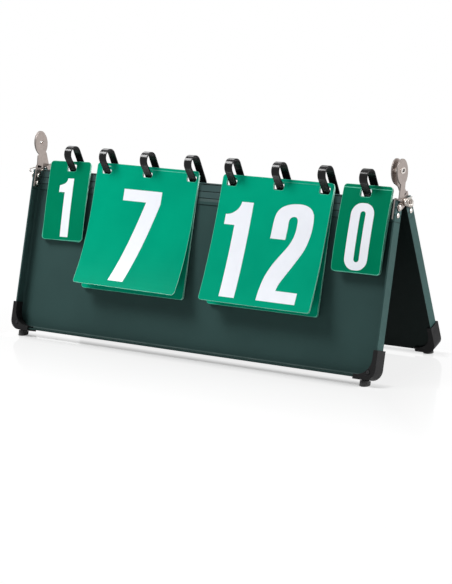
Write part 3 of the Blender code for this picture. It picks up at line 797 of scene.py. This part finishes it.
def make_card_group(name):
    """Six sheets from the rear card's place to the front card's; returns how the front one hangs."""
    group = CARD_GROUPS[name]
    height, face_finish = CARD_KINDS[name.split("_")[0]]
    rear_top, rear_tilt = card_plane(f"{name}_rear_card", height)
    front_top, front_tilt = card_plane(f"{name}_front_card", height)
    loops, pivot = card_loops(name, height, front_top.x)
    outward = Vector((0, -math.cos(rear_tilt), math.sin(rear_tilt)))
    up = Vector((0, math.sin(rear_tilt), math.cos(rear_tilt)))
    step = front_top - rear_top
    last = len(group["fan"]) - 1
    stands_for = {0: (f"{name}_rear_card", f"{name}_middle_card"), last: (f"{name}_front_card",)}
    for order, share in enumerate(group["fan"]):
        layer = order / last
        top = rear_top + outward * step.dot(outward) * layer + up * step.dot(up) * share
        plane = (top, between(rear_tilt, front_tilt, share))
        hang = (height, plane, group["bow"] * share, group["belly"], group["turn"] * share, pivot)
        sheet = f"{name}_sheet_{order + 1}"
        mesh = flat_mesh(sheet, loops, -SHEET / 2, SHEET / 2)
        paint_cut_edges(mesh)
        draw_border(mesh)
        hang_sheet(mesh, *hang)
        finishes = (face_finish, card_core_and_highlight_finish, border_finish)
        body = f"{name}_card" if order == last else f"{name}_stack"
        add_piece(sheet, mesh, finishes, body, "card_green", *stands_for.get(order, ()))
    return hang


front_hangs = {name: make_card_group(name) for name in CARD_GROUPS}
sheet_count = sum(len(group["fan"]) for group in CARD_GROUPS.values())
print("sheets:", sheet_count, "in", len(front_hangs), "groups")

# %% [markdown]
# Numeral outlines
# The numerals are condensed and bold. Each is drawn as an outline in millimetres from the
# card's top centre, with a smooth curve through a few points where the numeral is round. A
# picture on the card would blur when seen close up, and a text object would need a font with
# just these shapes.

# %% Numeral outlines
CURVE_STEPS = 5
FLAG_INSET = 0.35


def curve_through(points):
    """A smooth run through points, which all stay on it."""
    spread = [points[0]] + list(points) + [points[-1]]
    run = []
    for index in range(1, len(spread) - 2):
        before, start, end, after = (Vector(spread[index + offset]) for offset in (-1, 0, 1, 2))
        for step in range(CURVE_STEPS):
            t = step / CURVE_STEPS
            bend = (end - before) * t + (2 * before - 5 * start + 4 * end - after) * t ** 2
            bend += (3 * start - before - 3 * end + after) * t ** 3
            run.append(tuple(start + bend / 2))
    return run + [tuple(points[-1])]


def one_outline(left, right, flag, top, bottom, flag_top, flag_bottom):
    """A numeral 1: a straight stem whose flag sweeps up to its top."""
    reach = left - flag
    inset = reach * FLAG_INSET
    stem = [(right, top), (right, bottom), (left, bottom), (left, flag_bottom), (flag, flag_bottom)]
    sweep = [
        (flag, flag_top),
        (flag + reach * 0.5, flag_top - 1.0),
        (left - 0.2, between(flag_top, top, 0.35)),
        (left + inset * 0.75, between(flag_top, top, 0.7)),
        (left + inset, top),
    ]
    return stem + curve_through(sweep)


SMALL_ONE = [one_outline(-2.8, 6.2, -9.3, 16.6, 70.5, 23.4, 29.5)]
LARGE_ONE = [one_outline(-36.1, -20.4, -46.9, 23.1, 107, 35.0, 43.8)]
SEVEN = [[
    (-22.3, 22.0), (19.7, 22.0), (19.7, 32.8), (-2.1, 106.1), (-18.6, 106.1), (3.7, 32.4), (-22.3, 32.4),
]]
TWO_OUTSIDE = curve_through([
    (18.9, 96.3), (20.7, 90.3), (25.0, 82.5), (31.7, 71.3), (38.3, 59.3), (41.2, 49.1), (42.4, 40.0),
    (41.9, 31.0), (40.2, 26.4), (36.8, 23.0), (31.0, 21.0), (23.9, 20.7), (15.9, 21.8), (9.2, 24.6),
    (5.0, 29.0), (3.3, 34.6), (2.8, 42.4), (2.6, 52.0),
])
TWO_INSIDE = curve_through([
    (17.7, 52.0), (18.1, 42.4), (18.0, 36.6), (18.8, 33.6), (21.4, 31.9), (24.6, 32.0), (26.4, 34.0),
    (26.9, 37.8), (26.6, 44.0), (25.4, 49.8), (22.0, 57.2), (14.8, 67.2), (8.7, 76.7), (4.2, 87.4),
    (2.2, 98.0),
])
TWO = [TWO_OUTSIDE + TWO_INSIDE + [(1.7, 106.4), (40.6, 106.4), (40.6, 96.3)]]
ZERO_HOLE = rounded_box((-2.8, 22.3), (2.2, 64.9), 2.4)
ZERO = [rounded_box((-11.7, 15.5), (10.2, 71.7), 9.6, steps=10), ZERO_HOLE]
PRINTS = {
    "set_left": (SMALL_ONE,),
    "points_left": (SEVEN,),
    "points_right": (LARGE_ONE, TWO),
    "set_right": (ZERO,),
}
print("points of the 2:", len(TWO[0]))

# %% [markdown]
# Printed numerals
# The white is screen-printed, so it is a film of ink with a thickness of its own. Each film
# is cut like a card, bowed by the card's own numbers and laid just over its face, so that it
# never cuts into the sheet. Painting faces of the card white would need the numeral's outline
# cut into the sheet.

# %% Printed numerals
INK = 0.02 * MM
INK_GAP = 0.01 * MM


def print_numeral(name, loops, group):
    """Lays one numeral's ink film on a group's front card, bowed like the card."""
    scaled = [[(across * MM, -down * MM) for across, down in loop] for loop in loops]
    face = SHEET / 2 + INK_GAP
    mesh = flat_mesh(name, scaled, face, face + INK)
    hang_sheet(mesh, *front_hangs[group])
    add_piece(name, mesh, [print_finish], f"{group}_card", "card_green")


for group, prints in PRINTS.items():
    for order, loops in enumerate(prints):
        print_numeral(f"{group}_numeral_{order + 1}", loops, group)
print("numerals:", sum(len(prints) for prints in PRINTS.values()))

# %% [markdown]
# Lever sizes
# Each lever is pressed from nickel-plated sheet: a plate riveted inside the end wall, a narrow
# stem and a spoon-shaped head with a small slot. Two of them step outward over the wall. The
# sizes could stand where they are used, but together they can be compared with the real one.

# %% Lever sizes
LEVER = 1.2 * MM
LEVER_EDGE = 0.28 * MM
END_WALL = 1.5 * MM
GAP = 0.3 * MM
HINGE_LEAF = 0.8 * MM
BOARD_HALF = 192.5 * MM
PLATE_START = BOARD_HALF - END_WALL - GAP - LEVER
OUTER_START = BOARD_HALF + 2 * GAP + HINGE_LEAF
PLATE_SPAN = (3.0 * MM, 9.6 * MM)
PLATE_DOWN = 15.5 * MM
WEB_SPAN = (4.6 * MM, 9.3 * MM)
WEB_TOP = -1.6 * MM
WEB_BOTTOM = -0.4 * MM
RIVETS = ((5.5 * MM, 5.0 * MM), (5.5 * MM, 12.0 * MM))
RIVET_SHANK = 1.2 * MM
HEAD = (8.5 * MM, 10.8 * MM)
HEAD_OPENING = 28
HEAD_STEPS = 44
NECK_HALF = 3.6 * MM
NECK_CUT = 1.1 * MM
FOOT_HALF = 3.96 * MM
SLOT = (4.8 * MM, 2.4 * MM)
SLOT_UP = 1.08 * MM
SLOT_CORNER = 0.45 * SLOT[1]
LIP = 1.3 * MM
LIP_HEIGHT = 0.55 * MM
LIP_EDGE = 0.9 * LIP_HEIGHT

# Each lever: end, side, stepped outward, plate top, foot, neck and head centres from the fold axis
LEVERS = (
    (1, -1, True, 1.9 * MM, (-8.4 * MM, 2.2 * MM), (-5.1 * MM, 14.9 * MM), (-5.2 * MM, 25.9 * MM)),
    (1, 1, False, 4.3 * MM, (4.4 * MM, 4.0 * MM), (-1.6 * MM, 14.9 * MM), (-6.6 * MM, 26.2 * MM)),
    (-1, -1, False, 4.3 * MM, (-5.4 * MM, 3.6 * MM), (-3.4 * MM, 14.9 * MM), (-1.0 * MM, 25.6 * MM)),
    (-1, 1, True, 1.9 * MM, (8.6 * MM, 2.2 * MM), (6.6 * MM, 14.9 * MM), (3.4 * MM, 25.6 * MM)),
)
SIDE_NAMES = {-1: "front", 1: "back"}
END_NAMES = {-1: "left", 1: "right"}
print("lever heads:", round(2 * HEAD[0] / MM, 1), "by", round(2 * HEAD[1] / MM, 1), "mm")

# %% [markdown]
# Lever outlines
# The plates lie square to the tray's slope, so their corners are given along and out from it.
# A spoon leans its own way, so it is drawn from foot to neck to head, with round corners
# where the neck meets the head. Drawing upright and turning the result would work too, but
# here each corner can be checked against the board at once.

# %% Lever outlines


def slope_point(side, outward, down):
    """A point of one side's slope as Y and Z, outward from the plate and down from its top edge."""
    reach = PLATE_BACK + outward
    drop = TOP_DROP + down
    across = reach * math.cos(LEAN) + drop * math.sin(LEAN)
    return (side * across, FOLD.z + reach * math.sin(LEAN) - drop * math.cos(LEAN))


def slope_box(side, inner, outer, top, bottom):
    """A rectangle square to one side's slope."""
    corners = ((inner, bottom), (outer, bottom), (outer, top), (inner, top))
    return [slope_point(side, outward, down) for outward, down in corners]


def spoon_outline(foot, neck, head):
    """Foot, neck and oval head in one outline, with round corners at the neck."""
    stem = (Vector(neck) - Vector(foot)).normalized()
    square = Vector((stem.y, -stem.x))
    right = [Vector(foot) + square * FOOT_HALF, Vector(neck) + square * NECK_HALF]
    left = [Vector(neck) - square * NECK_HALF, Vector(foot) - square * FOOT_HALF]
    oval = []
    for step in range(HEAD_STEPS + 1):
        angle = math.radians(HEAD_OPENING - 90 + (360 - 2 * HEAD_OPENING) * step / HEAD_STEPS)
        oval.append((head[0] + HEAD[0] * math.cos(angle), head[1] + HEAD[1] * math.sin(angle)))
    corners = right + oval + left
    at_neck = (1, 2, len(corners) - 3, len(corners) - 2)
    outline = []
    for index, corner in enumerate(corners):
        if index in at_neck:
            outline += round_corner(corners[index - 1], corner, corners[index + 1], NECK_CUT)
        else:
            outline.append(tuple(corner))
    return outline


def slot_corners(head, margin):
    """Low and high corners of a head's slot, with a margin all round it."""
    middle = (head[0], head[1] + SLOT_UP)
    half_width, half_height = SLOT[0] / 2 + margin, SLOT[1] / 2 + margin
    low = (middle[0] - half_width, middle[1] - half_height)
    return low, (middle[0] + half_width, middle[1] + half_height)


def slot_outline(head):
    return rounded_box(*slot_corners(head, 0), SLOT_CORNER, steps=5)


def end_span(end, start, thickness):
    """Low and high X of a sheet whose face nearest the middle is at start."""
    return sorted((end * start, end * (start + thickness)))


print("slot:", [round(value / MM, 2) for corner in slot_corners((0, 0), 0) for value in corner], "mm")

# %% [markdown]
# Stamped levers
# The press leaves sheared edges that are rougher than the polished faces, so they get a
# duller finish of their own. The slot's edge is drawn up into a lip, and that lip catches
# most of the light. Plate, spoon and web are cut one by one and joined into one mesh. One
# folded sheet would be closer to the press work, but the wall would hide its folds.

# %% Stamped levers
sheared_finish = simple_finish(
    "lever_sheared_edge", (0.19, 0.17, 0.16), 0.65, tone=(0.06, 90), relief=(1400, 0.01 * MM), metallic=1)
lip_finish = simple_finish(
    "lip_nickel_bright", (0.72, 0.67, 0.63), 0.22,
    tone=(0.05, 200), relief=(1400, 0.006 * MM), metallic=1)


def lever_mesh(name, end, side, plate_up, foot, neck, head, spoon_start):
    """Plate and spoon of one lever, and a web between them where the spoon is stepped out."""
    plate = slope_box(side, *PLATE_SPAN, -plate_up, PLATE_DOWN)
    holes = [circle(slope_point(side, *at), RIVET_SHANK + GAP) for at in RIVETS]
    spoon = [spoon_outline(foot, neck, head), slot_outline(head)]
    parts = [
        flat_mesh(name, [plate] + holes, *end_span(end, PLATE_START, LEVER)),
        flat_mesh(name, spoon, *end_span(end, spoon_start, LEVER)),
    ]
    if spoon_start > PLATE_START:
        web = slope_box(side, *WEB_SPAN, WEB_TOP, WEB_BOTTOM)
        web_span = end_span(end, PLATE_START + LEVER / 2, spoon_start - PLATE_START)
        parts.append(flat_mesh(name, [web], *web_span))
    mesh = joined_mesh(f"{name}_stamping", parts)
    paint_cut_edges(mesh)
    mesh.transform(END_AXES)
    return mesh


def make_lip(name, end, body, head, face):
    """The raised lip round a head's slot, rooted halfway into the sheet."""
    rim = rounded_box(*slot_corners(head, LIP), SLOT_CORNER + LIP, steps=8)
    span = end_span(end, face - LEVER / 2, LEVER / 2 + LIP_HEIGHT)
    mesh = flat_mesh(f"{name}_lip", [rim, slot_outline(head)], *span)
    mesh.transform(END_AXES)
    lip = add_piece(f"{name}_lip", mesh, [lip_finish], body, "plated_steel")
    soften(lip, LIP_EDGE, segments=4)


def make_lever(end, side, stepped, plate_up, foot, neck, head):
    name = f"{SIDE_NAMES[side]}_{END_NAMES[end]}_lever"
    body = f"{SIDE_NAMES[side]}_frame"
    foot, neck, head = from_fold(foot), from_fold(neck), from_fold(head)
    spoon_start = OUTER_START if stepped else PLATE_START
    mesh = lever_mesh(name, end, side, plate_up, foot, neck, head, spoon_start)
    finishes = (nickel_finish, sheared_finish)
    lever = add_piece(f"{name}_stamping", mesh, finishes, body, "plated_steel", name)
    soften(lever, LEVER_EDGE)
    make_lip(name, end, body, head, spoon_start + LEVER)
    return lever


levers = [make_lever(*lever) for lever in LEVERS]
print("levers:", len(levers))

# %% [markdown]
# Rivets
# A rivet is a turned shape, so half of its profile is drawn once and spun round its axis. A
# cylinder with two flattened spheres would look much the same, but that is three shapes to
# size and join where one profile does.

# %% Rivets
RIVET_HEAD = 2.2 * MM
RIVET_RISE = 0.9 * MM
DOME_ANGLES = range(0, 91, 15)
RIVET_STEPS = 24


def rivet_mesh(name, start, end):
    """A rivet along Z from start to end with two domed heads outside them."""
    turns = [math.radians(angle) for angle in DOME_ANGLES]
    dome = [(RIVET_HEAD * math.sin(turn), RIVET_RISE * math.cos(turn)) for turn in turns]
    outer = [(radius, 0, end + rise) for radius, rise in dome]
    shank = [(RIVET_SHANK, 0, end), (RIVET_SHANK, 0, start)]
    inner = [(radius, 0, start - rise) for radius, rise in reversed(dome)]
    work = bmesh.new()
    points = [work.verts.new(point) for point in outer + shank + inner]
    edges = [work.edges.new(pair) for pair in zip(points, points[1:])]
    bmesh.ops.spin(work, geom=points + edges, cent=(0, 0, 0), axis=(0, 0, 1), angle=math.tau,
                   steps=RIVET_STEPS, use_merge=True, use_duplicate=False)
    bmesh.ops.remove_doubles(work, verts=work.verts, dist=JOIN_DISTANCE)
    bmesh.ops.recalc_face_normals(work, faces=work.faces)
    return close_mesh(work, bpy.data.meshes.new(name))


def make_rivet(side, end, level, at):
    node = f"{SIDE_NAMES[side]}_{END_NAMES[end]}_{level}_rivet"
    low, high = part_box(node)
    mesh = rivet_mesh(f"{node}_turned", low.x + RIVET_RISE, high.x - RIVET_RISE)
    mesh.transform(Matrix.Translation((0, *slope_point(side, *at))) @ END_AXES)
    body = f"{SIDE_NAMES[side]}_frame"
    rivet = add_piece(f"{node}_turned", mesh, [lip_finish], body, "plated_steel", node)
    rivet.data.shade_smooth()
    return rivet


rivets = []
for side in (-1, 1):
    for end in (-1, 1):
        rivets += [make_rivet(side, end, level, at) for level, at in zip(("upper", "lower"), RIVETS)]
print("rivets:", len(rivets))

# %% [markdown]
# Springs
# The torsion springs wind round the hinge pins and push the frame open. Each has two turns, a
# straight leg behind and a leg with a curled end in front. A spring is a wire swept along a
# path, which needs enough points in each turn to look round. A Screw modifier winds a coil
# too, but it can't add the legs.

# %% Springs
WIRE = 0.5 * MM
SPRING_RADIUS = 2.95 * MM
SPRING_START = OUTER_START + LEVER + GAP + WIRE
SPRING_PITCH = 1.45 * MM
SPRING_TURNS = 2
SPRING_LEG = 8.2 * MM
SPRING_BACK_LEG = 7.38 * MM
SPRING_CURL = 1.4 * MM
CURL_ANGLES = (90, 300)
CURL_STEPS = 14
TURN_STEPS = 36
WIRE_RESOLUTION = 3


def spring_path(end):
    """The middle of one spring's wire, from the tip of its back leg to its curl."""
    start = end * SPRING_START
    points = [(start, SPRING_BACK_LEG, SPRING_RADIUS), (start, SPRING_BACK_LEG / 2, SPRING_RADIUS)]
    steps = TURN_STEPS * SPRING_TURNS
    for step in range(steps + 1):
        angle = math.pi / 2 + math.tau * SPRING_TURNS * step / steps
        along = end * (SPRING_START + SPRING_PITCH * SPRING_TURNS * step / steps)
        points.append((along, SPRING_RADIUS * math.cos(angle), SPRING_RADIUS * math.sin(angle)))
    outer = points[-1][0]
    points.append((outer, -SPRING_LEG / 2, SPRING_RADIUS))
    curl_centre = (-SPRING_LEG, SPRING_RADIUS - SPRING_CURL)
    curl = arc(curl_centre, SPRING_CURL, *CURL_ANGLES, CURL_STEPS)
    points += [(outer, across, up) for across, up in curl]
    return [(x, y, FOLD.z + z) for x, y, z in points]


def make_spring(end):
    node = f"{END_NAMES[end]}_spring"
    curve = bpy.data.curves.new(node, "CURVE")
    curve.dimensions = "3D"
    curve.bevel_depth = WIRE
    curve.bevel_resolution = WIRE_RESOLUTION
    curve.use_fill_caps = True
    draw_run(curve, spring_path(end), False)
    mesh = mesh_from_curve(f"{node}_wire", curve)
    spring = add_piece(f"{node}_wire", mesh, [spring_finish], "back_frame", "spring_steel", node)
    spring.data.shade_smooth()
    return spring


springs = [make_spring(end) for end in (-1, 1)]
print("springs:", len(springs), "of", SPRING_TURNS, "turns")

# %% [markdown]
# Foot stems
# Each rubber foot is pressed on a short stem that comes down through the corner cap. The stem
# is a plain turned bar, so a cone with equal ends is enough, laid along the tray's slope. A
# spun profile would give the same bar with more to write.

# %% Foot stems
STEM_RADIUS = 3.2 * MM
STEM_SPAN = (147.4 * MM, 150.6 * MM)
STEM_OUT = 5 * MM
STEM_INSET = 10 * MM
STEM_EDGE = 0.2 * MM
STEM_SIDES = 32


def make_stem(side, end):
    name = f"{SIDE_NAMES[side]}_{END_NAMES[end]}_foot_stem"
    work = bmesh.new()
    bmesh.ops.create_cone(work, cap_ends=True, segments=STEM_SIDES, radius1=STEM_RADIUS,
                          radius2=STEM_RADIUS, depth=STEM_SPAN[1] - STEM_SPAN[0])
    mesh = close_mesh(work, bpy.data.meshes.new(name))
    middle = slope_point(side, STEM_OUT, sum(STEM_SPAN) / 2)
    spot = Vector((end * (BOARD_HALF - STEM_INSET), *middle))
    mesh.transform(Matrix.Translation(spot) @ Matrix.Rotation(side * LEAN, 4, "X"))
    stem = add_piece(name, mesh, [foot_finish], f"{SIDE_NAMES[side]}_frame", "foot_rubber")
    soften(stem, STEM_EDGE, segments=2)
    return stem


stems = [make_stem(side, end) for side in (-1, 1) for end in (-1, 1)]
print("stems:", len(stems))

# %% [markdown]
# Floor and background
# The picture was taken on a glossy white table against white. The floor is a wide white sheet,
# and for camera and mirror rays part of its brightness is its own, so that it reaches white
# without more light on the board. That share is low round the board's feet, where its shadow
# lies, and full further away. A small mirror share near the board gives the faint image in
# the polish. Stronger lamps would whiten the floor too, but would bleach the cards with it.

# %% Floor
FLOOR_SIZE = 12.0
FLOOR_COLOUR = (0.9, 0.9, 0.9)
FLOOR_SHEEN = 0.22
FLOOR_SHEENS = (0.2, 0.26, 3)
BOARD_HALVES = (0.194, 0.056)
NEAR_GLOW = 0.32
OPEN_GLOW = 0.95
FAR_GLOW = 1.0
FEET_REACH = 0.012
FAR_REACH = (0.05, 0.6)
MIRROR_SHARE = 0.12
MIRROR_REACH = 0.1
MIRROR_SHEEN = 0.06


def seen_rays(finish):
    """1 for a ray that the camera or a mirror sends out, 0 for the others."""
    rays = finish.node_tree.nodes.new("ShaderNodeLightPath")
    return sum_up(finish, "MAXIMUM", rays.outputs["Is Camera Ray"], rays.outputs["Is Glossy Ray"])


def blend_shaders(finish, share, first, second):
    blend = finish.node_tree.nodes.new("ShaderNodeMixShader")
    finish.node_tree.links.new(share, blend.inputs["Fac"])
    finish.node_tree.links.new(first.outputs[0], blend.inputs[1])
    finish.node_tree.links.new(second.outputs[0], blend.inputs[2])
    return blend


def make_floor_finish():
    finish, shader = new_finish("floor_white", FLOOR_COLOUR, FLOOR_SHEEN)
    nodes = finish.node_tree.nodes
    vary_roughness(finish, shader, *FLOOR_SHEENS)
    axes = object_axes(finish)
    past_end = sum_up(finish, "SUBTRACT", sum_up(finish, "ABSOLUTE", axes["X"]), BOARD_HALVES[0])
    past_side = sum_up(finish, "SUBTRACT", sum_up(finish, "ABSOLUTE", axes["Y"]), BOARD_HALVES[1])
    past = sum_up(finish, "MAXIMUM", past_end, past_side)
    from_feet = sum_up(finish, "MAXIMUM", sum_up(finish, "ABSOLUTE", past_side), past_end)
    near = ramp(finish, from_feet, 0, FEET_REACH, NEAR_GLOW, OPEN_GLOW)
    far = ramp(finish, past, *FAR_REACH, 0, FAR_GLOW - OPEN_GLOW)
    share = sum_up(finish, "MULTIPLY", sum_up(finish, "ADD", near, far), seen_rays(finish))
    glow = nodes.new("ShaderNodeEmission")
    glow.inputs["Strength"].default_value = 1
    mirror = nodes.new("ShaderNodeBsdfGlossy")
    mirror.inputs["Roughness"].default_value = MIRROR_SHEEN
    polish = ramp(finish, past, 0, MIRROR_REACH, MIRROR_SHARE, 0)
    white = blend_shaders(finish, share, shader, glow)
    table = blend_shaders(finish, polish, white, mirror)
    finish.node_tree.links.new(table.outputs[0], nodes["Material Output"].inputs["Surface"])
    return finish


work = bmesh.new()
bmesh.ops.create_grid(work, x_segments=1, y_segments=1, size=FLOOR_SIZE / 2)
floor_mesh = close_mesh(work, bpy.data.meshes.new("floor"))
floor_mesh.materials.append(make_floor_finish())
floor = show("floor", floor_mesh)
print("floor:", FLOOR_SIZE, "m")

# %% [markdown]
# World and softboxes
# The world is white to the camera and in mirrors, and lights the board only a little. Three
# softboxes do the rest: one high at the left as the main light, a weak one behind the board's
# left end, and one at the right that brightens the end wall and the levers. A panorama of a
# studio would give richer reflections, but it would have to be loaded from a file.

# %% World and softboxes
SKY_LEVEL = 0.13

# Each softbox: name, watts, width and height, where it stands and where it points
SOFTBOXES = (
    ("key_softbox", 26, (0.55, 0.55), (-0.85, -0.42, 1.25), (0, 0, 0.08)),
    ("rim_softbox", 3, (0.45, 0.45), (-0.85, 0.8, 1.0), (0, 0, 0.12)),
    ("right_softbox", 42, (0.7, 0.9), (1.6, 0.5, 0.9), (0, 0, 0.1)),
)


def make_world():
    world = bpy.data.worlds.new("studio")
    world.use_nodes = True
    back = world.node_tree.nodes["Background"]
    back.inputs["Color"].default_value = (1, 1, 1, 1)
    level = ramp(world, seen_rays(world), 0, 1, SKY_LEVEL, 1)
    world.node_tree.links.new(level, back.inputs["Strength"])
    bpy.context.scene.world = world


def add_softbox(name, power, size, spot, aim):
    data = bpy.data.lights.new(name, "AREA")
    data.shape = "RECTANGLE"
    data.size, data.size_y = size
    data.energy = power
    lamp = show(name, data)
    turn = (Vector(aim) - Vector(spot)).to_track_quat("-Z", "Y")
    lamp.matrix_world = Matrix.Translation(spot) @ turn.to_matrix().to_4x4()


make_world()
for softbox in SOFTBOXES:
    add_softbox(*softbox)
bpy.context.scene.view_settings.view_transform = "Standard"
print("softboxes:", len(SOFTBOXES), "with", sum(softbox[1] for softbox in SOFTBOXES), "watts")
